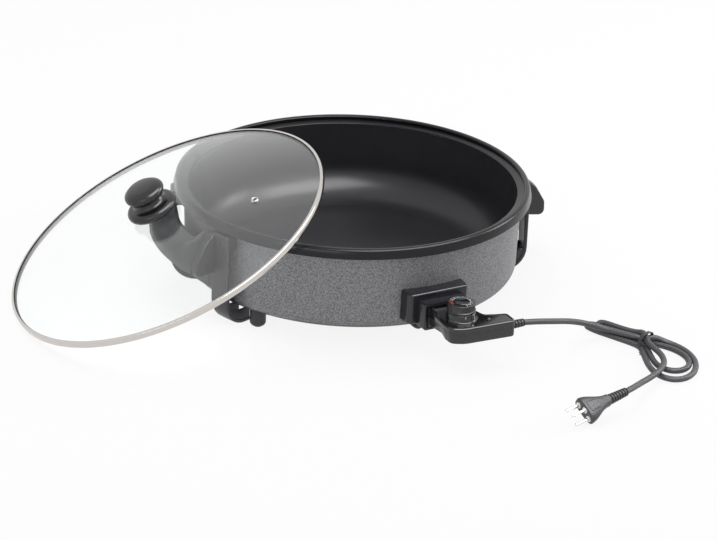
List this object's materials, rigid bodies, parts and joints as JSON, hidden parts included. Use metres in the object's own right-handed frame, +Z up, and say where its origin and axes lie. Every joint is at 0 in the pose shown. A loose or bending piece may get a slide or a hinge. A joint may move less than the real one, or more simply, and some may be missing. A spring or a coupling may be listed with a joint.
{
  "type": "electric skillet",
  "caption": "Round electric skillet on two leg handles, with a loose domed glass lid leaning on its rim and a plug-in heat control with a dial, cord and mains plug.",
  "frame": {"origin": "centre of the flat pad under the pan", "axes": "+Z up along the pan's axis; the handles lie along X; the heat control plugs in at -Y; the lid leans towards -X"},
  "size_m": [0.6705, 0.6781, 0.1814],
  "materials": {
    "pan_paint": "hammered grey paint outside, satin black non-stick coating inside",
    "heater_steel": "dull steel",
    "nickel": "nickel plated",
    "ceramic": "unglazed ceramic, stood in for by a matt plastic",
    "guard_plastic": "black phenolic, satin",
    "steel": "zinc plated",
    "brass": "plain",
    "handle_plastic": "black phenolic, satin",
    "foot_rubber": "matt",
    "lid_glass": "clear toughened glass",
    "rim_steel": "polished stainless",
    "knob_plastic": "black phenolic, satin",
    "case_plastic": "black, glossy",
    "phenolic": "brown phenolic board",
    "wire_sleeve": "woven glass sleeve",
    "lamp_lens": "clear lens",
    "white_print": "white print",
    "cord_rubber": "dark grey sheath",
    "tie_plastic": "twist tie"
  },
  "bodies": {
    "pan": {"pan_body": "pan_paint", "heating_element": "heater_steel", "terminal_pins": "nickel", "pin_insulators": "ceramic", "probe_well": "heater_steel", "terminal_guard": "guard_plastic", "guard_sleeve": "guard_plastic", "guard_bracket": "steel", "guard_screws": "steel", "earth_contact": "brass", "left_handle": "handle_plastic", "right_handle": "handle_plastic", "handle_studs": "steel", "handle_screws": "steel", "foot_posts": "handle_plastic", "foot_studs": "steel", "foot_pads": "foot_rubber"},
    "lid": {"lid_glass": "lid_glass", "lid_rim": "rim_steel", "vent_eyelet": "rim_steel", "knob_washer": "foot_rubber", "knob_base": "knob_plastic", "knob_cap": "knob_plastic", "knob_screw": "steel"},
    "control": {"controller_lower": "case_plastic", "controller_upper": "case_plastic", "housing_screws": "steel", "contact_carrier": "phenolic", "contact_sleeves": "brass", "probe_tube": "steel", "thermostat_frame": "steel", "bimetal_strip": "brass", "wire_leads": "wire_sleeve", "pilot_lamp": "lamp_lens", "index_mark": "white_print", "cord_relief": "cord_rubber", "cord_lead": "cord_rubber", "cord_hank": "cord_rubber", "cord_tie": "tie_plastic", "cord_tail": "cord_rubber", "plug_relief": "cord_rubber", "plug_body": "cord_rubber", "plug_pins": "nickel"},
    "dial": {"dial_shaft": "steel", "temperature_dial": "case_plastic", "dial_scale": "white_print", "dial_cap": "case_plastic"}
  },
  "joints": [
    {"name": "lid_lift", "type": "slide", "parent": "pan", "child": "lid", "axis": [-0.4361, 0.0726, 0.897], "range_m": [0, 0.25]},
    {"name": "control_unplug", "type": "slide", "parent": "pan", "child": "control", "axis": [0, -1, 0], "range_m": [0, 0.08]},
    {"name": "dial_turn", "type": "hinge", "parent": "control", "child": "dial", "pos_m": [0.001, -0.258, 0.05], "axis": [0, 0, 1], "range_deg": [0, 270]}
  ]
}
